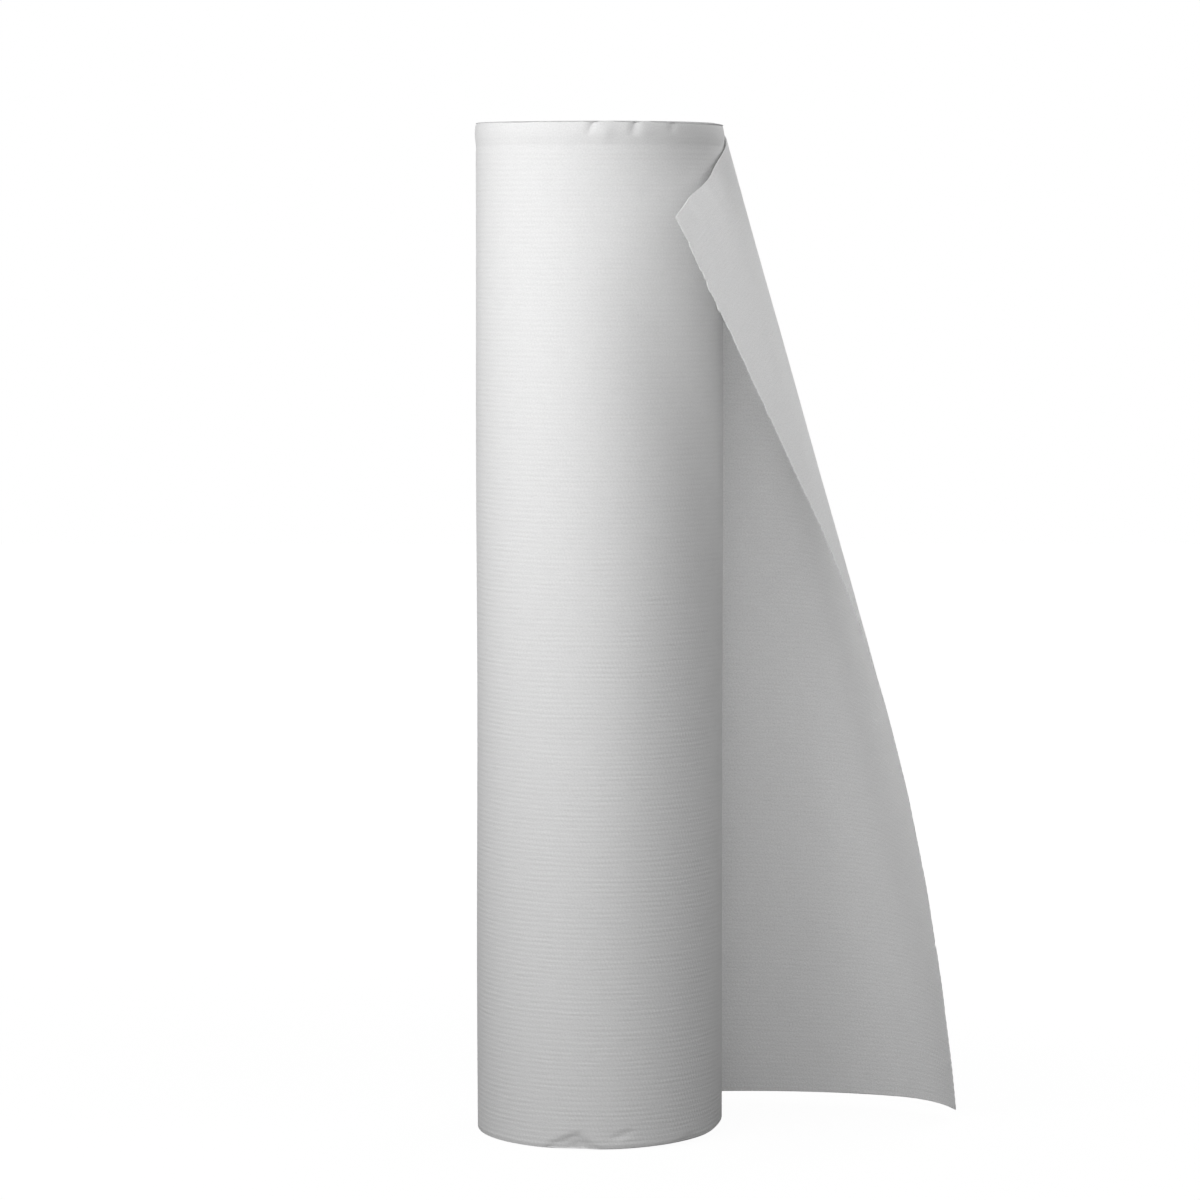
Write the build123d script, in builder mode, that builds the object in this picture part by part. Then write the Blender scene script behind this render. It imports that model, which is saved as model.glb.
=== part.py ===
from build123d import *
import os
from math import atan2, cos, degrees, radians, sin

# An exam table paper roll that stands on its end: an embossed paper web wound on a cardboard core.
# The free end leaves the back of the roll, swings out to one side and turns its upper corner over.
# Millimetres. Z runs along the core, and the origin is on the core's axis at the lower end.

# Roll and core
roll_length = 500.0
roll_diameter = 122.5
core_bore = 38.0
core_wall = 1.5
winding_clearance = 0.15
web_thickness = 0.4

# Turns of the web that part a little and show as a spiral on both ends
shown_turns = 8
turn_gap_width = 0.6
turn_gap_depth = 0.8
turn_margin = 2.5

# Free end, measured on the sheet laid flat from the line where it leaves the roll
leaving_bearing = 17.5
top_edge_length = 244.5
bottom_edge_length = 215.0
bottom_edge_lift = 2.5
free_corner_lift = 5.0

# The sheet bends about rulings that fan out from one point above its upper edge. Each bend is part of a
# cone with its tip at that point, and the last stretch, the turned-over flap, is flat again.
fan_height = 282.0
swing_run_on_bottom = 176.0
fold_run_on_top = 148.0
swing_half_angle = 17.0
curl_half_angle = 3.7
fold_half_angle = 15.8

# Spare length of a bend at both edges of the sheet before it is trimmed to them
trim_allowance = 10.0

# Worked out from the sizes above
roll_radius = roll_diameter / 2
core_radius = core_bore / 2 + core_wall
winding_radius = core_radius + winding_clearance
leaving_angle = 90.0 + leaving_bearing
sheet_width = roll_length - bottom_edge_lift
bottom_slope = free_corner_lift / bottom_edge_length
tear_slope = (bottom_edge_length - top_edge_length) / (sheet_width - free_corner_lift)
corner_angle = degrees(atan2(bottom_edge_length, fan_height + sheet_width - free_corner_lift))

# Where each bend ends, as an angle of the fan on the flat sheet, with the half angle of its cone
bends = [
    (degrees(atan2(swing_run_on_bottom, fan_height + sheet_width)), swing_half_angle),
    (corner_angle, curl_half_angle),
    (degrees(atan2(fold_run_on_top, fan_height)), fold_half_angle),
]
tip_angle = degrees(atan2(top_edge_length, fan_height))


def spiral(start_radius, pitch, turns):
    """Draws a spiral of half circles that closes in by its pitch each turn; returns its two ends."""
    outward = Vector(cos(radians(leaving_angle)), sin(radians(leaving_angle)))
    start = outward * start_radius
    end = start
    for half_turn in range(2 * turns):
        side = (-1) ** half_turn
        begin = end
        end = outward * -side * (start_radius - pitch * (half_turn + 1) / 2)
        middle = (begin + end) * 0.5 + outward.rotate(Axis.Z, 90) * side * (begin - end).length / 2
        ThreePointArc(begin, middle, end)
    return start, end


def ruling_span(angle):
    """Distances from the fan's tip to the sheet's upper edge and to its lower or torn edge."""
    along = cos(radians(angle))
    across = sin(radians(angle))
    upper = fan_height / along
    if angle <= corner_angle:
        return upper, (fan_height + sheet_width) / (along + bottom_slope * across)
    return upper, (top_edge_length - tear_slope * fan_height) / (across - tear_slope * along)


def edge_trim(edge_start, edge_end, inward):
    """Plane square to the middle of a bend, through both ends of one of its edges; Z runs down the sheet."""
    run = edge_end - edge_start
    return Plane(origin=edge_start, x_dir=run, z_dir=run.cross(inward))


fan_tip = Vector(
    roll_radius * cos(radians(leaving_angle)),
    roll_radius * sin(radians(leaving_angle)),
    roll_length + fan_height,
)
leaving_heading = Vector(cos(radians(leaving_bearing)), sin(radians(leaving_bearing)), 0)

# Free end: each bend is a slice of the sheet turned about its cone's axis and trimmed to the sheet's edges
bend_parts = []
ruling = Vector(0, 0, -1)
heading = leaving_heading
bend_start = 0.0
for bend_end, half_angle in bends:
    inward = ruling.cross(heading)
    cone_axis = Axis(fan_tip, ruling * cos(radians(half_angle)) + inward * sin(radians(half_angle)))
    turn = (bend_end - bend_start) / sin(radians(half_angle))
    end_ruling = ruling.rotate(cone_axis, turn)
    mid_inward = inward.rotate(cone_axis, turn / 2)
    start_upper, start_lower = ruling_span(bend_start)
    end_upper, end_lower = ruling_span(bend_end)
    nearest = min(start_upper, end_upper) - trim_allowance
    farthest = max(start_lower, end_lower) + trim_allowance
    with BuildPart() as bend:
        with BuildSketch(Plane(origin=fan_tip, x_dir=ruling, z_dir=-heading)):
            with Locations((nearest, 0)):
                Rectangle(farthest - nearest, web_thickness, align=(Align.MIN, Align.MIN))
        revolve(axis=cone_axis, revolution_arc=turn)
        upper_edge = edge_trim(fan_tip + ruling * start_upper, fan_tip + end_ruling * end_upper, mid_inward)
        split(bisect_by=upper_edge, keep=Keep.TOP)
        lower_edge = edge_trim(fan_tip + ruling * start_lower, fan_tip + end_ruling * end_lower, mid_inward)
        split(bisect_by=lower_edge, keep=Keep.BOTTOM)
    bend_parts.append(bend.part)
    ruling = end_ruling
    heading = heading.rotate(cone_axis, turn)
    bend_start = bend_end

with BuildPart() as core_tube:
    with BuildSketch():
        Circle(core_radius)
        Circle(core_bore / 2, mode=Mode.SUBTRACT)
    extrude(amount=roll_length)

with BuildPart() as paper_roll:
    # Wound body: the outermost turn stands one sheet proud along the line where the web leaves
    with BuildSketch():
        with BuildLine():
            Line(*spiral(roll_radius, web_thickness, 1))
        make_face()
        Circle(winding_radius, mode=Mode.SUBTRACT)
    extrude(amount=roll_length)

    # Spiral of parted turns, cut into both ends
    gap_start = roll_radius - turn_margin
    gap_pitch = (gap_start - winding_radius - turn_margin) / shown_turns
    for end_plane, inwards in ((Plane.XY.offset(roll_length), -1), (Plane.XY, 1)):
        with BuildSketch(end_plane):
            with BuildLine():
                outside = spiral(gap_start, gap_pitch, shown_turns)
                inside = spiral(gap_start - turn_gap_width, gap_pitch, shown_turns)
                Line(outside[0], inside[0])
                Line(outside[1], inside[1])
            make_face()
        extrude(amount=inwards * turn_gap_depth, mode=Mode.SUBTRACT)

    # Bends of the free end, joined to the body along the line where the web leaves
    add(bend_parts)

    # Turned-over flap: the flat triangle between the last ruling, the upper edge and the torn edge
    with BuildSketch(Plane(origin=fan_tip, x_dir=ruling, z_dir=ruling.cross(heading))):
        flap_angle = radians(tip_angle - bend_start)
        upper, lower = ruling_span(bend_start)
        tip, _ = ruling_span(tip_angle)
        with BuildLine():
            Polyline((upper, 0), (lower, 0), (tip * cos(flap_angle), tip * sin(flap_angle)), close=True)
        make_face()
    extrude(amount=web_thickness)

os.makedirs("parts", exist_ok=True)
core_tube.part.label = "core_tube"
export_step(core_tube.part, "parts/core_tube.step")
paper_roll.part.label = "paper_roll"
export_step(paper_roll.part, "parts/paper_roll.step")
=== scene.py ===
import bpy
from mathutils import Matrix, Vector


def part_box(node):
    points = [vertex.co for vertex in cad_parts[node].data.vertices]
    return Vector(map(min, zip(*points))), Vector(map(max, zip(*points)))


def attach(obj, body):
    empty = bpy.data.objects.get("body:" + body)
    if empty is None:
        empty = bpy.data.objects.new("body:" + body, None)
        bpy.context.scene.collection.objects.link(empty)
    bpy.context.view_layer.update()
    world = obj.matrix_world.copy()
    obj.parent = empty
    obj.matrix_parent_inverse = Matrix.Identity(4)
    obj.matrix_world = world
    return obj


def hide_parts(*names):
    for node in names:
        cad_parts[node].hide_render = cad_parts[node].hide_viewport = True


bl_info = {
    "name": "Exam table paper roll",
    "version": (1, 0, 0),
    "blender": (4, 5, 0),
    "location": "View3D > Sidebar > Paper Roll",
    "description": "Embossed paper wound on a board core, with its loose end turned over at the corner",
    "category": "Object",
}

from math import atan2, cos, pi, radians, sin

import bpy
import numpy as np
from bpy.props import FloatProperty, FloatVectorProperty, IntProperty, PointerProperty
from bpy.types import Node, NodeSocket, Operator, Panel, PropertyGroup
from mathutils import Vector

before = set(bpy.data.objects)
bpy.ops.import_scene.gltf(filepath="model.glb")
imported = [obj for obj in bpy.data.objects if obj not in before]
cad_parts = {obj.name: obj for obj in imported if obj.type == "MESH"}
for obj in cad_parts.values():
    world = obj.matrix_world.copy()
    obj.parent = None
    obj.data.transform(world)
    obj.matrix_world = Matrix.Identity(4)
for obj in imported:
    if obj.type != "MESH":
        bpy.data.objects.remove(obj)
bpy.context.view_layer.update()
core_low, core_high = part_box("core_tube")

MM = 0.001
FRONT = radians(-90)
MERGE_DISTANCE = 1e-6
SMOOTH_ANGLE = radians(50)

TISSUE = "two_ply_embossed_tissue"
CUT_EDGES = "cut_tissue_edges"
# Length of web, from the line where it leaves the roll, over which it turns into a loose sheet
LOOSE_RUN = 60 * MM

# The winding's grid has three rows for each turn on the ends, and these rows down the side, in mm
# below the upper end of a roll that is 0.5 m long
ROWS_PER_TURN = 3
WALL_LENGTH = 0.5
WALL_DROPS = np.concatenate([
    [0.7, 1.2, 1.9, 2.8], np.arange(3.75, 20.0, 1.25), np.arange(20.0, 60.0, 2.5),
    np.arange(60.0, 440.0, 5.0), np.arange(440.0, 480.0, 2.5), np.arange(480.0, 499.5, 1.25)])
UPPER_END, SIDE, LOWER_END = range(3)
# How far the edges of the outermost turn lie inside the end planes
RIM_DROP = 0.3 * MM

# Marks on the outermost turn: bearings are in degrees from the front, all else is in mm.
# Bumps and dents of the upper rim: bearing, drop, half width, half height, depth (below zero: a bump)
RIM_DENTS = (
    (2.5, 5.0, 3.4, 3.6, -0.8), (21.0, 5.0, 4.0, 3.5, -0.4),
    (150.0, 2.5, 3.0, 3.5, 0.8), (-120.0, 2.0, 3.0, 3.0, 0.7))
# Puckers of the upper rim: bearing and drop of the start and of the end, half width, depth
RIM_PUCKERS = (
    (-2.0, -2.0, -5.5, 7.0, 1.3, 1.5), (17.0, -2.0, 14.5, 7.0, 1.4, 1.3),
    (36.0, -2.0, 34.0, 6.0, 1.5, 0.8), (-62.0, 2.0, -27.0, 1.2, 1.2, 0.7),
    (-130.0, -2.0, -133.0, 7.0, 1.6, 1.1), (104.0, -2.0, 108.0, 7.0, 1.6, 1.0))
# Three fine lines on the front and three folds of the lower rim: bearing and height of the start and
# of the end, half width, depth
SIDE_CREASES = (
    (-36.0, 199.0, 6.0, 201.5, 1.0, 0.16), (15.0, 203.0, 30.0, 205.5, 1.0, 0.16),
    (-31.0, 325.5, -21.0, 326.5, 2.0, 0.25),
    (-27.0, 0.0, -6.0, 9.5, 1.2, 0.7), (4.0, 5.0, 17.0, 9.5, 1.4, 0.5),
    (-130.0, -2.0, -120.0, 11.0, 1.5, 0.9))
# Places where the lower rim is knocked in below a slanting fold: bearing, reach to the left, rise
KNOCKED_IN = ((-10.0, 19.0, 9.0), (46.0, 13.0, 4.0), (-125.0, 14.0, 6.0))
KNOCK_SLOPE = 0.26
# How far the outermost turn has slipped, by its bearing: its lower edge up, its upper edge down
SLIPPED_UP = ((-25, 10, 35, 60, 80, 100, 145), (0, 0.3, 1.0, 2.2, 4.6, 4.8, 0))
SLIPPED_DOWN = ((20, 60, 85, 120, 150), (0, 0.5, 1.0, 0.8, 0))
# Degrees on both sides of the line where the sheet leaves, over which all marks fade out
FLUSH_ARC = 14

# Torn edge of the loose sheet: perforation ties, deeper bites, and ties that tore late, in mm below
# the upper edge
TIE_PITCH = 4.2 * MM
BITES = 26
BITE_SEED = 11
DEEPEST_BITE = 2.2 * MM
LATE_TIES = (38.4, 48.9, 106.2)
# Upper edge of the turned corner, by the length along the sheet: where it starts to crumple, where
# it dips most and how far, and, from lengths in m, how many mm it bends back towards the roll
CRUMPLE_START = 150 * MM
DIP_PLACE = 180 * MM
DIP_DEPTH = 2.6 * MM
EDGE_BEND = ((0.155, 0.185, 0.215, 0.245), (0.0, 1.8, 1.6, 0.3))

# Place and size of each soft light; its energy is in the studio settings
SOFT_LIGHTS = {
    "key": ((-0.393, -0.355, 0.520), 0.42),
    "front": ((0.186, -0.886, 0.311), 0.6),
    "fill": ((-0.157, -0.878, 0.343), 0.6),
    "upper": ((0.475, -0.257, 0.893), 0.5),
    "back": ((0.531, 0.597, 0.73), 0.5),
}
LIT_POINT = Vector((0.03, 0.0, 0.28))
FLOOR_SIZE = 8.0
FLOOR_DROP = 0.1 * MM
# The camera looks a few degrees down from level
CAMERA_PLACE = (0.00005, -2.29056, 0.45898)
CAMERA_DIP = 4.857
SENSOR_WIDTH = 36.0


def linear(hex_colour):
    """Linear colour of an sRGB hex value."""
    channels = [int(hex_colour[i:i + 2], 16) / 255 for i in (1, 3, 5)]
    return [c / 12.92 if c <= 0.04045 else ((c + 0.055) / 1.055) ** 2.4 for c in channels]


class RollSizes(PropertyGroup):
    length: FloatProperty(
        name="Length", description="Roll from end to end, which is the width of the paper",
        default=core_high.z - core_low.z, unit="LENGTH")
    diameter: FloatProperty(
        name="Diameter", description="Roll across its outermost turn",
        default=122.5 * MM, unit="LENGTH")
    core_diameter: FloatProperty(
        name="Core diameter", description="Board core across its outside",
        default=core_high.x - core_low.x, unit="LENGTH")
    clearance: FloatProperty(
        name="Clearance", description="Gap between the core and the innermost turn",
        default=0.15 * MM, unit="LENGTH")
    web_thickness: FloatProperty(
        name="Paper thickness", description="Thickness of one embossed sheet",
        default=0.4 * MM, unit="LENGTH")
    shown_turns: IntProperty(
        name="Shown turns", description="Turns drawn on the ends; each stands for about five real ones",
        default=41, min=5, max=60)
    columns: IntProperty(
        name="Columns", description="Steps round one turn", default=240, min=48, max=360)


class SheetSizes(PropertyGroup):
    leaving_bearing: FloatProperty(
        name="Leaving bearing", description="Heading of the sheet where it leaves the back of the roll",
        default=radians(17.5), subtype="ANGLE")
    top_length: FloatProperty(
        name="Upper edge", description="Flat length of the loose sheet along its upper edge",
        default=244.5 * MM, unit="LENGTH")
    bottom_length: FloatProperty(
        name="Lower edge", description="Flat length of the loose sheet along its lower edge",
        default=215.0 * MM, unit="LENGTH")
    bottom_lift: FloatProperty(
        name="Lower edge lift", description="Height of the lower edge where the sheet leaves the roll",
        default=2.5 * MM, unit="LENGTH")
    corner_lift: FloatProperty(
        name="Free corner lift",
        description="Rise of the lower edge from the roll to the sheet's free corner",
        default=5.0 * MM, unit="LENGTH")
    fan_height: FloatProperty(
        name="Fan height", description="Height above the roll of the point that all bend lines meet in",
        default=282.0 * MM, unit="LENGTH")
    swing_run: FloatProperty(
        name="Swing run", description="Where the first, wide bend ends on the lower edge",
        default=176.0 * MM, unit="LENGTH")
    fold_run: FloatProperty(
        name="Fold run", description="Where the turned-over corner starts on the upper edge",
        default=148.0 * MM, unit="LENGTH")
    swing_cone: FloatProperty(
        name="Swing cone", description="Half angle of the cone of the wide bend",
        default=radians(17.0), subtype="ANGLE")
    curl_cone: FloatProperty(
        name="Curl cone", description="Half angle of the cone of the tight bend",
        default=radians(3.7), subtype="ANGLE")
    fold_cone: FloatProperty(
        name="Fold cone", description="Half angle of the cone of the last bend before the corner",
        default=radians(15.8), subtype="ANGLE")
    columns: IntProperty(
        name="Columns", description="Steps along the loose sheet", default=84, min=20, max=120)
    rows: IntProperty(
        name="Rows", description="Steps across the loose sheet", default=412, min=40, max=500)


class FinishSettings(PropertyGroup):
    paper_colour: FloatVectorProperty(
        name="Paper", description="Bleached tissue", subtype="COLOR", min=0, max=1,
        default=linear("#EBEBEB"))
    board_colour: FloatVectorProperty(
        name="Core board", description="Recycled board of the core", subtype="COLOR", min=0, max=1,
        default=linear("#A08F79"))
    seam_colour: FloatVectorProperty(
        name="Core seam", description="Glue line between the plies of the core",
        subtype="COLOR", min=0, max=1, default=linear("#7B6A55"))
    row_pitch: FloatProperty(
        name="Emboss row pitch", description="Distance between rows of embossed dots",
        default=2.5 * MM, unit="LENGTH")
    dot_pitch: FloatProperty(
        name="Emboss dot pitch", description="Distance between dots of one row",
        default=2.0 * MM, unit="LENGTH")
    emboss_depth: FloatProperty(
        name="Emboss depth", description="Height of the embossed dots",
        default=0.028 * MM, unit="LENGTH")
    # Partly the pressed paper's own whiteness, partly painted shade and light: the high dots of the emboss
    # are painted lighter and its hollows greyer
    emboss_tone_and_shade: FloatProperty(
        name="Emboss tone", description="How much whiter or greyer the paper is where it is pressed",
        default=0.013, min=0, max=0.1)
    fibre_tone: FloatProperty(
        name="Fibre tone", description="How much single fibres differ in whiteness",
        default=0.22, min=0, max=0.4)
    light_reach: FloatProperty(
        name="Light reach", description="How far light travels inside the paper",
        default=1.6 * MM, unit="LENGTH")
    seam_pitch: FloatProperty(
        name="Core seam pitch", description="Rise of the core's spiral seam in one turn",
        default=62.0 * MM, unit="LENGTH")


class StudioSettings(PropertyGroup):
    lens: FloatProperty(
        name="Lens", description="Focal length on a 36 mm sensor", default=139.03)
    key_energy: FloatProperty(
        name="Key light", description="Soft light in front on the left", default=2.10, unit="POWER")
    front_energy: FloatProperty(
        name="Front light", description="Wide soft light in front, right of the camera",
        default=1.09, unit="POWER")
    fill_energy: FloatProperty(
        name="Fill light", description="Wide soft light in front, left of the camera",
        default=0.97, unit="POWER")
    upper_energy: FloatProperty(
        name="Upper light", description="Soft light above on the right", default=0.66, unit="POWER")
    back_energy: FloatProperty(
        name="Back light",
        description="Soft light behind on the right, which shines through the loose sheet",
        default=3.0, unit="POWER")
    ambient: FloatProperty(
        name="Room light", description="Even light from all round", default=0.30)


def add_node(tree, kind, inputs=(), **settings):
    """Adds a node with its settings. Each input is a number, a colour, or what feeds it: a socket, or a
    node, which then feeds it from its first socket."""
    node = tree.nodes.new(kind)
    for name, value in settings.items():
        setattr(node, name, value)
    for name, value in dict(inputs).items():
        if isinstance(value, Node):
            value = value.outputs[0]
        if isinstance(value, NodeSocket):
            tree.links.new(value, node.inputs[name])
        else:
            node.inputs[name].default_value = value
    return node


def new_material(name):
    """A material with a Principled shader; returns it with its node tree and shader."""
    material = bpy.data.materials.new(name)
    material.use_nodes = True
    tree = material.node_tree
    return material, tree, tree.nodes["Principled BSDF"]


def embossed_tissue(finish):
    """Two-ply bleached tissue, pressed between steel rolls: chalky white, with rows of fine staggered
    dots that wander, fade and are crossed by streaks of fibre. The wound turns are opaque. The loose end
    has lost some of its emboss, shows more single fibres and is thin enough to let light through."""
    _, tree, shader = new_material(TISSUE)
    web = add_node(tree, "ShaderNodeUVMap", uv_map="web")
    flat = add_node(tree, "ShaderNodeSeparateXYZ", {0: web})
    along, down = flat.outputs[0], flat.outputs[1]
    # From the line where the web leaves the roll it becomes a loose sheet
    press = add_node(
        tree, "ShaderNodeMapRange",
        {"Value": along, "From Min": 0.0, "From Max": LOOSE_RUN, "To Min": 1.0, "To Max": 0.7})
    fuzz = add_node(
        tree, "ShaderNodeMapRange",
        {"Value": along, "From Min": 0.0, "From Max": LOOSE_RUN, "To Min": 1.0, "To Max": 1.8})
    lifted = add_node(
        tree, "ShaderNodeMapRange",
        {"Value": along, "From Min": 4 * MM, "From Max": LOOSE_RUN, "To Min": 0.0, "To Max": 1.0})

    # Rows wander by a few tenths of a millimetre, in patches of about 40 by 8 mm
    long_stretch = add_node(
        tree, "ShaderNodeMapping", {"Vector": web, "Scale": (1 / (40 * MM), 1 / (8 * MM), 1)})
    wander = add_node(tree, "ShaderNodeTexNoise", {"Vector": long_stretch, "Scale": 1.0, "Detail": 2.0})
    centred = add_node(
        tree, "ShaderNodeVectorMath", {0: wander.outputs["Color"], 1: (0.5, 0.5, 0.5)},
        operation="SUBTRACT")
    wandering = add_node(
        tree, "ShaderNodeVectorMath", {0: centred, 1: (2.2 * MM, 1.8 * MM, 0), 2: web},
        operation="MULTIPLY_ADD")
    axes = add_node(tree, "ShaderNodeSeparateXYZ", {0: wandering})
    row_phase = add_node(
        tree, "ShaderNodeMath", {0: axes.outputs[1], 1: 2 * pi / finish.row_pitch}, operation="MULTIPLY")
    half_phase = add_node(
        tree, "ShaderNodeMath", {0: axes.outputs[1], 1: pi / finish.row_pitch}, operation="MULTIPLY")
    dot_phase = add_node(
        tree, "ShaderNodeMath", {0: axes.outputs[0], 1: 2 * pi / finish.dot_pitch}, operation="MULTIPLY")
    rows = add_node(tree, "ShaderNodeMath", {0: row_phase}, operation="COSINE")
    # The sign of the half waves changes from row to row, which staggers the dots
    halves = add_node(tree, "ShaderNodeMath", {0: half_phase}, operation="COSINE")
    dots = add_node(tree, "ShaderNodeMath", {0: dot_phase}, operation="COSINE")
    lattice = add_node(tree, "ShaderNodeMath", {0: halves, 1: dots}, operation="MULTIPLY")
    emboss = add_node(tree, "ShaderNodeMath", {0: lattice, 1: 0.7, 2: rows}, operation="MULTIPLY_ADD")

    # Rows are pressed unevenly, in stretches of about 14 mm along the web and two rows across it
    stretch = add_node(
        tree, "ShaderNodeMapping",
        {"Vector": web, "Scale": (1 / (14 * MM), 1 / (2 * finish.row_pitch), 1)})
    patches = add_node(tree, "ShaderNodeTexNoise", {"Vector": stretch, "Scale": 1.0, "Detail": 3.0})
    uneven = add_node(
        tree, "ShaderNodeMapRange",
        {"Value": patches, "From Min": 0.32, "From Max": 0.68, "To Min": 0.25, "To Max": 1.35})
    # The rim that the slitting knife squeezed, about 10 mm wide, is smoother
    smooth_rim = add_node(
        tree, "ShaderNodeMapRange",
        {"Value": down, "From Min": 6 * MM, "From Max": 13 * MM, "To Min": 0.25, "To Max": 1.0})
    full_force = add_node(tree, "ShaderNodeMath", {0: uneven, 1: smooth_rim}, operation="MULTIPLY")
    force = add_node(tree, "ShaderNodeMath", {0: full_force, 1: press}, operation="MULTIPLY")
    pressed = add_node(tree, "ShaderNodeMath", {0: emboss, 1: force}, operation="MULTIPLY")

    # Streaks of fibre along the rows, about 9 by 1 mm, and single fibres, about 0.8 mm apart
    drawn = add_node(
        tree, "ShaderNodeMapping", {"Vector": web, "Scale": (1 / (9 * MM), 1 / (1 * MM), 1)})
    streaks = add_node(tree, "ShaderNodeTexNoise", {"Vector": drawn, "Scale": 1.0, "Detail": 2.0})
    fibres = add_node(
        tree, "ShaderNodeTexNoise", {"Vector": web, "Scale": 1 / (0.8 * MM), "Detail": 3.0})
    fuzzy = add_node(tree, "ShaderNodeMath", {0: fibres, 1: fuzz}, operation="MULTIPLY")
    streaked = add_node(
        tree, "ShaderNodeMath", {0: streaks, 1: 2.0, 2: pressed}, operation="MULTIPLY_ADD")
    relief = add_node(tree, "ShaderNodeMath", {0: fuzzy, 1: 2.6, 2: streaked}, operation="MULTIPLY_ADD")
    bump = add_node(
        tree, "ShaderNodeBump", {"Height": relief, "Distance": finish.emboss_depth, "Strength": 1.0})

    # Cloudy formation of the sheet, in patches of about 6 mm
    clouds = add_node(tree, "ShaderNodeTexNoise", {"Vector": web, "Scale": 1 / (6 * MM), "Detail": 4.0})
    cloudy = add_node(tree, "ShaderNodeMapRange", {"Value": clouds, "To Min": 0.84, "To Max": 0.89})
    speckled = add_node(
        tree, "ShaderNodeMath", {0: fuzzy, 1: finish.fibre_tone, 2: cloudy}, operation="MULTIPLY_ADD")
    # Fibre streaks and the emboss relief are painted into the colour, lighter where the relief stands high.
    # The streaks are the paper's own tone; the dots are partly the pressed paper's density and partly
    # painted shade and light of the relief
    tone = add_node(
        tree, "ShaderNodeMath", {0: streaked, 1: finish.emboss_tone_and_shade, 2: speckled},
        operation="MULTIPLY_ADD")
    colour = add_node(
        tree, "ShaderNodeVectorMath", {0: list(finish.paper_colour), "Scale": tone}, operation="SCALE")
    tree.links.new(colour.outputs[0], shader.inputs["Base Color"])
    tree.links.new(bump.outputs[0], shader.inputs["Normal"])
    tree.links.new(lifted.outputs[0], shader.inputs["Subsurface Weight"])
    shader.inputs["Subsurface Radius"].default_value = (1.0, 1.0, 1.0)
    shader.inputs["Subsurface Scale"].default_value = finish.light_reach
    shader.inputs["Roughness"].default_value = 0.95
    shader.inputs["IOR"].default_value = 1.4
    shader.inputs["Specular IOR Level"].default_value = 0.2
    shader.inputs["Sheen Weight"].default_value = 0.05


def tissue_edges(finish):
    """Cut edges of the wound tissue: soft white, with four hair lines in each shown turn for the real
    turns that it stands for."""
    _, tree, shader = new_material(CUT_EDGES)
    web = add_node(tree, "ShaderNodeUVMap", uv_map="web")
    axes = add_node(tree, "ShaderNodeSeparateXYZ", {0: web})
    turn_phase = add_node(
        tree, "ShaderNodeMath", {0: axes.outputs[1], 1: 2 * pi * 4}, operation="MULTIPLY")
    turns = add_node(tree, "ShaderNodeMath", {0: turn_phase}, operation="COSINE")
    place = add_node(tree, "ShaderNodeTexCoord")
    fuzz = add_node(
        tree, "ShaderNodeTexNoise",
        {"Vector": place.outputs["Object"], "Scale": 1 / (1.5 * MM), "Detail": 4.0})
    height = add_node(tree, "ShaderNodeMath", {0: fuzz, 1: 2.0, 2: turns}, operation="MULTIPLY_ADD")
    bump = add_node(tree, "ShaderNodeBump", {"Height": height, "Distance": 0.04 * MM, "Strength": 1.0})
    tone = add_node(tree, "ShaderNodeMapRange", {"Value": fuzz, "To Min": 0.93, "To Max": 1.0})
    colour = add_node(
        tree, "ShaderNodeVectorMath", {0: list(finish.paper_colour), "Scale": tone}, operation="SCALE")
    tree.links.new(colour.outputs[0], shader.inputs["Base Color"])
    tree.links.new(bump.outputs[0], shader.inputs["Normal"])
    shader.inputs["Roughness"].default_value = 1.0
    shader.inputs["Specular IOR Level"].default_value = 0.1


def wound_board(finish):
    """Recycled grey-brown board, wound in a spiral from strips: a dark, sunk glue seam climbs round the
    tube and flecks of old fibre show in the surface."""
    material, tree, shader = new_material("spiral_wound_core_board")
    place = add_node(tree, "ShaderNodeTexCoord")
    axes = add_node(tree, "ShaderNodeSeparateXYZ", {0: place.outputs["Object"]})
    angle = add_node(
        tree, "ShaderNodeMath", {0: axes.outputs[1], 1: axes.outputs[0]}, operation="ARCTAN2")
    share = add_node(tree, "ShaderNodeMath", {0: angle, 1: 1 / (2 * pi)}, operation="MULTIPLY")
    climb = add_node(
        tree, "ShaderNodeMath", {0: axes.outputs[2], 1: 1 / finish.seam_pitch, 2: share},
        operation="MULTIPLY_ADD")
    saw = add_node(tree, "ShaderNodeMath", {0: climb}, operation="FRACT")
    # The seam is about 1 mm wide
    seam = add_node(
        tree, "ShaderNodeMapRange",
        {"Value": saw, "From Min": 0.0, "From Max": 1.2 * MM / finish.seam_pitch,
         "To Min": 1.0, "To Max": 0.0})
    flecks = add_node(
        tree, "ShaderNodeTexNoise",
        {"Vector": place.outputs["Object"], "Scale": 1 / (1.2 * MM), "Detail": 5.0, "Roughness": 0.7})
    tone = add_node(tree, "ShaderNodeMapRange", {"Value": flecks, "To Min": 0.72, "To Max": 1.2})
    board = add_node(
        tree, "ShaderNodeVectorMath", {0: list(finish.board_colour), "Scale": tone}, operation="SCALE")
    colour = add_node(
        tree, "ShaderNodeMix", {"Factor": seam, "A": board, "B": list(finish.seam_colour) + [1.0]},
        data_type="RGBA")
    grain = add_node(tree, "ShaderNodeMath", {0: seam, 1: -3.0, 2: flecks}, operation="MULTIPLY_ADD")
    bump = add_node(tree, "ShaderNodeBump", {"Height": grain, "Distance": 0.08 * MM, "Strength": 1.0})
    tree.links.new(colour.outputs["Result"], shader.inputs["Base Color"])
    tree.links.new(bump.outputs[0], shader.inputs["Normal"])
    shader.inputs["Roughness"].default_value = 0.85
    return material


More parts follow.
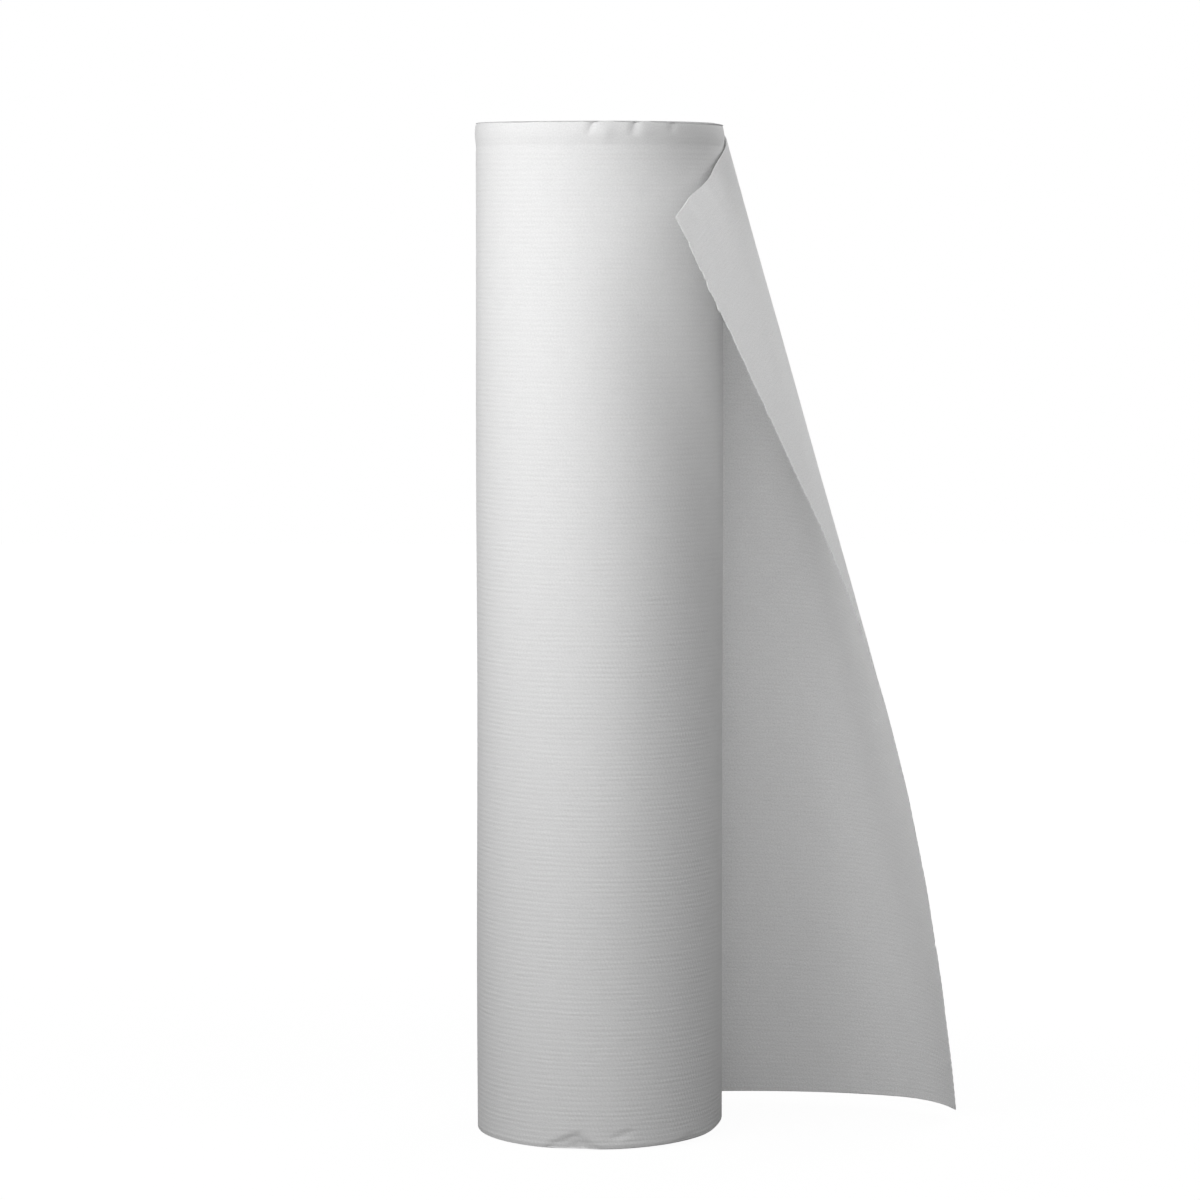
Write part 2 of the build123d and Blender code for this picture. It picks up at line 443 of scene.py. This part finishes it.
def new_grid(name, columns, rows):
    """Adds a flat grid; returns its object and, for each vertex, its column share and its row number."""
    bpy.ops.object.select_all(action="DESELECT")
    bpy.ops.mesh.primitive_grid_add(x_subdivisions=columns, y_subdivisions=rows, size=1.0)
    grid = bpy.context.active_object
    grid.name = name
    grid.data.name = name
    place = np.empty(len(grid.data.vertices) * 3)
    grid.data.vertices.foreach_get("co", place)
    place = place.reshape(-1, 3)
    if len(place) != (columns + 1) * (rows + 1):
        raise RuntimeError(f"{name}: the grid has {len(place)} points")
    share = np.rint((place[:, 0] + 0.5) * columns) / columns
    row = np.rint((place[:, 1] + 0.5) * rows).astype(int)
    return grid, share, row


def corner_vertices(mesh):
    """Vertex number of each face corner."""
    corners = np.empty(len(mesh.loops), dtype=int)
    mesh.loops.foreach_get("vertex_index", corners)
    return corners


def lay_out(grid, points, flat):
    """Moves the grid's vertices to their places and keeps their place on the flat web as the UV map."""
    mesh = grid.data
    mesh.vertices.foreach_set("co", np.ascontiguousarray(points, dtype=float).ravel())
    mesh.uv_layers[0].name = "web"
    mesh.uv_layers["web"].data.foreach_set("uv", flat[corner_vertices(mesh)].ravel())
    mesh.update()


def dent(distance, height, half_width, half_height, depth):
    """Soft dent of a given depth, from distances along and across the web to its middle."""
    return -depth * np.exp(-(distance / half_width) ** 2 - (height / half_height) ** 2)


def crease(along, level, start, end, half_width, depth):
    """Soft valley along a line between two points of the web, which fades out at both ends."""
    run = np.subtract(end, start)
    length = np.hypot(*run)
    share = ((along - start[0]) * run[0] + (level - start[1]) * run[1]) / length ** 2
    off = ((along - start[0]) * run[1] - (level - start[1]) * run[0]) / length
    return -depth * np.exp(-(off / half_width) ** 2) * np.sin(pi * np.clip(share, 0, 1))


def rolled_over(distance, reach):
    """Share of a rim's rolling over: none at its reach, and steepest at the very edge."""
    share = np.clip(1 - distance / reach, 0, 1)
    return 1 - np.sqrt(1 - 0.98 * share ** 2)


def bearing_from(zero, angle):
    """Angle round the roll from a line on it, in degrees from -180 to 180."""
    return np.degrees(np.angle(np.exp(1j * (angle - zero))))


def skin_offset(angle, height, leaving, sizes):
    """How far the outermost turn stands out or in, by the angle round the roll and the height. It is
    smooth where the loose sheet leaves it, so that the two lie flush."""
    radius = sizes.diameter / 2
    bearing = bearing_from(FRONT, angle)
    along = np.radians(bearing) * radius
    below_top = sizes.length - height
    # The whole turn is a little uneven
    offset = 0.22 * MM * np.sin(2 * angle + 9 * height) * np.sin(17 * height + 1.1)
    offset += 0.10 * MM * np.sin(5 * angle - 23 * height + 0.6)
    # The upper rim is a soft swollen band, with a faint groove below it
    swollen = 1 + 0.3 * np.sin(3 * angle + 1)
    offset += 0.55 * MM * swollen * np.exp(-((below_top - 5.5 * MM) / (4.6 * MM)) ** 2)
    offset -= 0.22 * MM * np.exp(-((below_top - 12.0 * MM) / (1.8 * MM)) ** 2)
    for at, drop, half_width, half_height, depth in RIM_DENTS:
        offset += dent(along - radians(at) * radius, below_top - drop * MM,
                       half_width * MM, half_height * MM, depth * MM)
    for creases, level in ((RIM_PUCKERS, below_top), (SIDE_CREASES, height)):
        for from_at, from_level, to_at, to_level, half_width, depth in creases:
            offset += crease(along, level, (radians(from_at) * radius, from_level * MM),
                             (radians(to_at) * radius, to_level * MM), half_width * MM, depth * MM)
    # The fold above a knocked-in place falls faster on its right
    for at, reach, rise in KNOCKED_IN:
        away = along - radians(at) * radius
        fallen = np.where(away < 0, -away, 1.5 * away) / (reach * MM)
        fold_height = rise * MM * np.clip(1 - fallen, 0, 1)
        offset -= KNOCK_SLOPE * np.clip(fold_height - height, 0, None)
    # On the right the upper rim leans in and has kept its sharp edge
    right = np.exp(-((bearing - 88) / 30) ** 2)
    offset -= right * MM * np.clip(1 - below_top / (13 * MM), 0, 1)
    # Elsewhere the rims are rolled over a little
    offset -= (1.4 - 1.15 * right) * MM * rolled_over(below_top, 2.6 * MM)
    offset -= 0.6 * MM * rolled_over(height, 1.6 * MM)
    flush = np.clip(np.abs(bearing_from(leaving, angle)) / FLUSH_ARC, 0, 1)
    return offset * flush ** 2 * (3 - 2 * flush)


def rim_shift(angle, height, sizes):
    """How far the outermost turn has slipped: on the right its lower edge is up and its upper edge down."""
    bearing = bearing_from(FRONT, angle)
    up = MM * np.interp(bearing, *SLIPPED_UP)
    down = MM * np.interp(bearing, *SLIPPED_DOWN)
    return up * np.exp(-height / (14 * MM)) - down * np.exp(-(sizes.length - height) / (10 * MM))


def turn_radius(turn, sizes):
    """Radius of the web after so many turns: a little uneven, and one sheet proud in its last turn."""
    first = sizes.core_diameter / 2 + sizes.clearance
    last = sizes.diameter / 2
    full = sizes.shown_turns - 1
    pitch = (last - sizes.web_thickness - first) / full
    share = np.clip(turn / full, 0, 1)
    uneven = 0.16 * MM * np.sin(2 * pi * 0.381 * turn) * np.sin(pi * share) ** 0.5
    inner = first + pitch * np.minimum(turn, full) + uneven
    return np.where(turn > full, last - sizes.web_thickness * (sizes.shown_turns - turn), inner)


def end_drop(turn, step, angle):
    """How far the edge of a turn lies inside the end plane; step 0 is the gap between two turns."""
    slip = 0.28 * (1 + np.sin(2 * pi * 0.382 * turn + 0.4))
    slip = slip + 0.14 * (1 + np.sin(2 * pi * 0.13 * turn + 2))
    slip = slip + 0.06 * np.sin(3 * angle + 2 * turn)
    gap = 0.55 + 0.35 * np.sin(2 * pi * 0.271 * turn)
    return (slip + np.where(step == 0, gap, np.where(step == 1, 0.0, 0.08)) + 0.1) * MM


class PAPERROLL_OT_wind(Operator):
    """Winds the paper round the core: a grid goes out over the upper end, down the side and back below"""
    bl_idname = "paper_roll.wind"
    bl_label = "Wind the roll"

    def execute(self, context):
        sizes = context.scene.roll_sizes
        leaving = radians(90) + context.scene.sheet_sizes.leaving_bearing
        rings = ROWS_PER_TURN * (sizes.shown_turns - 1)
        wall_drops = WALL_DROPS * MM * sizes.length / WALL_LENGTH
        walls = len(wall_drops)

        # Rows: over the upper end from the core outwards, down the side, back under the lower end and
        # up the core
        row_rings = np.concatenate(
            [np.arange(rings + 1), np.full(walls, rings), np.arange(rings, -1, -1), [0]])
        row_parts = np.repeat([UPPER_END, SIDE, LOWER_END, UPPER_END], [rings + 1, walls, rings + 1, 1])
        row_drops = np.concatenate([np.zeros(rings + 1), wall_drops, np.zeros(rings + 2)])
        roll, share, row = new_grid("wound_roll", sizes.columns, len(row_rings) - 1)
        ring, part = row_rings[row], row_parts[row]

        angle = leaving - 2 * pi * share
        turn = ring / ROWS_PER_TURN + share
        radius = turn_radius(turn, sizes)
        outermost = ring == rings
        sunk = np.where(outermost, RIM_DROP, end_drop(turn, ring % ROWS_PER_TURN, angle))
        height = np.select(
            [part == UPPER_END, part == LOWER_END], [sizes.length - sunk, sunk],
            sizes.length - row_drops[row])
        flat = np.stack([(share - 1) * pi * sizes.diameter, sizes.length - height], axis=1)
        # The turns next to the outermost one have slipped with it
        slipped = np.clip(1 - (sizes.diameter / 2 - radius) / (7 * MM), 0, 1) ** 2
        shift = rim_shift(angle, height, sizes) * slipped
        radius = radius + outermost * skin_offset(angle, height, leaving, sizes)
        points = np.stack([radius * np.cos(angle), radius * np.sin(angle), height + shift], axis=1)
        ends = (part != SIDE) & ~outermost
        flat[ends, 0] = (angle * radius)[ends]
        flat[ends, 1] = turn[ends]
        lay_out(roll, points, flat)

        # The ends show cut edges, the side the embossed face
        roll.data.materials.append(bpy.data.materials[TISSUE])
        roll.data.materials.append(bpy.data.materials[CUT_EDGES])
        corner_rows = row[corner_vertices(roll.data)].reshape(-1, 4)
        on_side = (corner_rows.min(axis=1) >= rings) & (corner_rows.max(axis=1) <= rings + walls + 1)
        roll.data.polygons.foreach_set("material_index", np.where(on_side, 0, 1))

        # One turn meets the next, and the two steps where the web starts and leaves are closed
        bpy.ops.object.mode_set(mode="EDIT")
        bpy.ops.mesh.select_all(action="SELECT")
        bpy.ops.mesh.remove_doubles(threshold=MERGE_DISTANCE)
        bpy.ops.mesh.select_all(action="SELECT")
        bpy.ops.mesh.fill_holes(sides=0)
        bpy.ops.mesh.select_all(action="SELECT")
        bpy.ops.mesh.normals_make_consistent(inside=False)
        bpy.ops.object.mode_set(mode="OBJECT")
        bpy.ops.object.shade_smooth_by_angle(angle=SMOOTH_ANGLE)

        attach(roll, "root")
        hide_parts("paper_roll")
        return {"FINISHED"}


def turned(vectors, axis, angles):
    """Vectors turned about an axis, each by its own angle."""
    angles = np.asarray(angles)[:, None]
    along = (vectors @ axis)[:, None] * axis
    return (vectors - along) * np.cos(angles) + np.cross(axis, vectors) * np.sin(angles) + along


def bend_sheet(along, down, sheet, sizes):
    """Places of points of the flat sheet, and the sheet's outward direction there. All bend lines meet
    in one point above the roll, so the sheet bends along cones and isn't stretched anywhere."""
    leaving = radians(90) + sheet.leaving_bearing
    width = sizes.length - sheet.bottom_lift
    radius = sizes.diameter / 2
    tip = np.array([radius * cos(leaving), radius * sin(leaving), sizes.length + sheet.fan_height])
    fan = np.arctan2(along, sheet.fan_height + down)
    reach = np.hypot(along, sheet.fan_height + down)
    ruling = np.array([0.0, 0.0, -1.0])
    heading = np.array([cos(sheet.leaving_bearing), sin(sheet.leaving_bearing), 0.0])
    full_fan = sheet.fan_height + width
    bends = (
        (atan2(sheet.swing_run, full_fan), sheet.swing_cone),
        (atan2(sheet.bottom_length, full_fan - sheet.corner_lift), sheet.curl_cone),
        (atan2(sheet.fold_run, sheet.fan_height), sheet.fold_cone))
    rulings = np.tile(ruling, (len(fan), 1))
    headings = np.tile(heading, (len(fan), 1))
    start = 0.0
    for end, cone in bends:
        axis = ruling * cos(cone) + np.cross(ruling, heading) * sin(cone)
        swept = (np.clip(fan, start, end) - start) / sin(cone)
        beyond = fan > start
        rulings[beyond] = turned(np.tile(ruling, (beyond.sum(), 1)), axis, swept[beyond])
        headings[beyond] = turned(np.tile(heading, (beyond.sum(), 1)), axis, swept[beyond])
        last = np.array([(end - start) / sin(cone)])
        ruling = turned(ruling[None, :], axis, last)[0]
        heading = turned(heading[None, :], axis, last)[0]
        start = end
    # Beyond the last bend the turned corner is flat
    flat = np.clip(fan - start, 0, None)[:, None]
    outward = -np.cross(rulings, headings)
    return tip + reach[:, None] * (rulings * np.cos(flat) + headings * np.sin(flat)), outward


def torn_edge(down):
    """How far the torn edge falls short of its line: perforation ties, a few deeper bites, and ties that
    tore late and stand out."""
    draw = np.random.default_rng(BITE_SEED)
    short = 0.25 * MM * (1 + np.sin(2 * pi * down / TIE_PITCH + np.sin(down / (13 * MM))))
    for _ in range(BITES):
        at = draw.uniform(0.0, 0.49)
        half_width = draw.uniform(0.8, 2.0) * MM
        short += draw.uniform(0.3, 1.1) * MM * np.exp(-((down - at) / half_width) ** 2)
    for at in LATE_TIES:
        short -= 1.6 * MM * np.exp(-((down - at * MM) / (1.5 * MM)) ** 2)
    return np.minimum(short, DEEPEST_BITE)


class PAPERROLL_OT_loose_sheet(Operator):
    """Bends the loose end of the paper off the back of the roll and turns its upper corner over"""
    bl_idname = "paper_roll.loose_sheet"
    bl_label = "Bend the loose sheet"

    def execute(self, context):
        sizes = context.scene.roll_sizes
        sheet = context.scene.sheet_sizes
        width = sizes.length - sheet.bottom_lift
        loose, share, row = new_grid("loose_sheet", sheet.columns, sheet.rows)
        drop = row / sheet.rows
        down = drop * (width - sheet.corner_lift * share)
        edge = sheet.top_length + (sheet.bottom_length - sheet.top_length) * drop
        along = share * edge - np.where(share > 1 - 0.5 / sheet.columns, torn_edge(down), 0.0)
        # The upper edge is crumpled where it is turned over, and dips a little there
        crumpled = np.exp(-down / (8 * MM)) * np.clip((along - CRUMPLE_START) / (25 * MM), 0, 1)
        dip = DIP_DEPTH * np.exp(-((along - DIP_PLACE) / (20 * MM)) ** 2)
        down = down + dip * (1 - drop) ** 12
        points, outward = bend_sheet(along, down, sheet, sizes)

        # Slack in the sheet: none where it leaves the roll, most at its free edges
        to_edge = np.exp(-(edge - along) / (22 * MM))
        to_edge += np.exp(-down / (16 * MM)) * np.clip(along / (150 * MM) - 0.4, 0, 1)
        slack = 0.15 * MM * np.sin(along / (19 * MM) + 0.8) * np.sin(down / (31 * MM) + along / (47 * MM))
        slack += to_edge * 0.08 * MM * np.sin(down / (7.5 * MM) + along / (5.5 * MM))
        slack += crumpled * 0.25 * MM * np.sin(along / (4.3 * MM))
        slack += crumpled * 0.12 * MM * np.sin(along / (2.3 * MM) + 1)
        # The upper edge of the turned corner bends back towards the roll
        bent = MM * np.interp(along, *EDGE_BEND)
        slack -= bent * np.clip(1 - down / (15 * MM), 0, 1) ** 2
        points = points + outward * (slack * np.clip(along / LOOSE_RUN, 0, 1) ** 2)[:, None]
        lay_out(loose, points, np.stack([along, down], axis=1))
        loose.data.materials.append(bpy.data.materials[TISSUE])

        # Outward faces first, so that the thickness goes inwards, as on the roll
        middle = loose.data.polygons[len(loose.data.polygons) // 2]
        nearest = np.argmin(np.linalg.norm(points - np.array(middle.center), axis=1))
        if Vector(outward[nearest]).dot(middle.normal) < 0:
            bpy.ops.object.mode_set(mode="EDIT")
            bpy.ops.mesh.select_all(action="SELECT")
            bpy.ops.mesh.flip_normals()
            bpy.ops.object.mode_set(mode="OBJECT")
        ply = loose.modifiers.new("ply", "SOLIDIFY")
        ply.thickness = sizes.web_thickness
        ply.offset = -1.0
        bpy.ops.object.modifier_apply(modifier=ply.name)
        bpy.ops.object.shade_smooth_by_angle(angle=SMOOTH_ANGLE)

        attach(loose, "root")
        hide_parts("paper_roll")
        return {"FINISHED"}


class PAPERROLL_OT_finishes(Operator):
    """Makes the paper and board finishes and puts the board on the core"""
    bl_idname = "paper_roll.finishes"
    bl_label = "Make the finishes"

    def execute(self, context):
        finish = context.scene.finish_settings
        embossed_tissue(finish)
        tissue_edges(finish)
        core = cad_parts["core_tube"]
        core.data.materials.clear()
        core.data.materials.append(wound_board(finish))
        return {"FINISHED"}


def soft_light(name, place, size, energy):
    """Adds a square soft light at a place, turned to the middle of the object."""
    bpy.ops.object.light_add(type="AREA", location=place)
    light = bpy.context.active_object
    light.name = name
    light.rotation_euler = (LIT_POINT - Vector(place)).to_track_quat("-Z", "Y").to_euler()
    light.data.size = size
    light.data.energy = energy
    light.visible_camera = False


def seen_ray(tree):
    """Node that gives 1 for what the camera sees, also in reflections and through glass."""
    path = add_node(tree, "ShaderNodeLightPath")
    mirrored = add_node(
        tree, "ShaderNodeMath",
        {0: path.outputs["Is Camera Ray"], 1: path.outputs["Is Glossy Ray"]}, operation="MAXIMUM")
    return add_node(
        tree, "ShaderNodeMath",
        {0: mirrored, 1: path.outputs["Is Transmission Ray"]}, operation="MAXIMUM")


def pale_floor():
    """Matt studio floor, which the camera sees as white apart from the soft shadow round the object. It
    is dark by itself, so that it throws little light back at the roll."""
    material, tree, shader = new_material("matt_white_floor")
    shader.inputs["Base Color"].default_value = linear("#3C3C3C") + [1.0]
    shader.inputs["Roughness"].default_value = 1.0
    shader.inputs["Specular IOR Level"].default_value = 0.0
    shader.inputs["Emission Color"].default_value = (1, 1, 1, 1)
    place = add_node(tree, "ShaderNodeTexCoord")
    away = add_node(tree, "ShaderNodeVectorMath", {0: place.outputs["Object"]}, operation="LENGTH")
    # Less of the white is its own light near the object, where the shadow falls
    white = add_node(
        tree, "ShaderNodeMapRange",
        {"Value": away.outputs["Value"], "From Min": 0.25, "From Max": 1.1, "To Min": 0.965, "To Max": 1.0})
    shown = add_node(tree, "ShaderNodeMath", {0: white, 1: seen_ray(tree)}, operation="MULTIPLY")
    tree.links.new(shown.outputs[0], shader.inputs["Emission Strength"])
    return material


class PAPERROLL_OT_stage(Operator):
    """Sets the floor, the background, the soft lights and the camera"""
    bl_idname = "paper_roll.stage"
    bl_label = "Set the stage"

    def execute(self, context):
        scene = context.scene
        studio = scene.studio_settings
        scene.view_settings.view_transform = "Standard"

        bpy.ops.object.select_all(action="DESELECT")
        bpy.ops.mesh.primitive_plane_add(size=FLOOR_SIZE, location=(0, 0, -FLOOR_DROP))
        floor = context.active_object
        floor.name = "pale_floor"
        floor.data.materials.append(pale_floor())

        world = bpy.data.worlds.new("white_room")
        scene.world = world
        world.use_nodes = True
        tree = world.node_tree
        room = tree.nodes["Background"]
        room.inputs["Color"].default_value = (1, 1, 1, 1)
        strength = add_node(
            tree, "ShaderNodeMapRange", {"Value": seen_ray(tree), "To Min": studio.ambient, "To Max": 1.0})
        tree.links.new(strength.outputs[0], room.inputs["Strength"])

        for name, (place, size) in SOFT_LIGHTS.items():
            soft_light(name, place, size, getattr(studio, f"{name}_energy"))

        camera = bpy.data.cameras.new("camera")
        camera.lens = studio.lens
        camera.sensor_width = SENSOR_WIDTH
        view = bpy.data.objects.new("camera", camera)
        view.location = CAMERA_PLACE
        view.rotation_euler = (radians(90 - CAMERA_DIP), 0, 0)
        scene.collection.objects.link(view)
        scene.camera = view
        return {"FINISHED"}


OPERATORS = (PAPERROLL_OT_finishes, PAPERROLL_OT_wind, PAPERROLL_OT_loose_sheet, PAPERROLL_OT_stage)
SETTINGS = {
    "roll_sizes": RollSizes,
    "sheet_sizes": SheetSizes,
    "finish_settings": FinishSettings,
    "studio_settings": StudioSettings,
}


class PAPERROLL_PT_panel(Panel):
    """Sizes, finishes and steps of the paper roll"""
    bl_label = "Paper Roll"
    bl_idname = "PAPERROLL_PT_panel"
    bl_space_type = "VIEW_3D"
    bl_region_type = "UI"
    bl_category = "Paper Roll"

    def draw(self, context):
        for name, group in SETTINGS.items():
            settings = getattr(context.scene, name)
            column = self.layout.column(align=True)
            for key in group.__annotations__:
                column.prop(settings, key)
        for operator in OPERATORS:
            self.layout.operator(operator.bl_idname)


CLASSES = (*SETTINGS.values(), *OPERATORS, PAPERROLL_PT_panel)


def register():
    for item in CLASSES:
        bpy.utils.register_class(item)
    for name, group in SETTINGS.items():
        setattr(bpy.types.Scene, name, PointerProperty(type=group))


def unregister():
    for name in SETTINGS:
        delattr(bpy.types.Scene, name)
    for item in reversed(CLASSES):
        bpy.utils.unregister_class(item)


def main():
    register()
    bpy.ops.paper_roll.finishes()
    bpy.ops.paper_roll.wind()
    bpy.ops.paper_roll.loose_sheet()
    bpy.ops.paper_roll.stage()


if __name__ == "__main__":
    main()
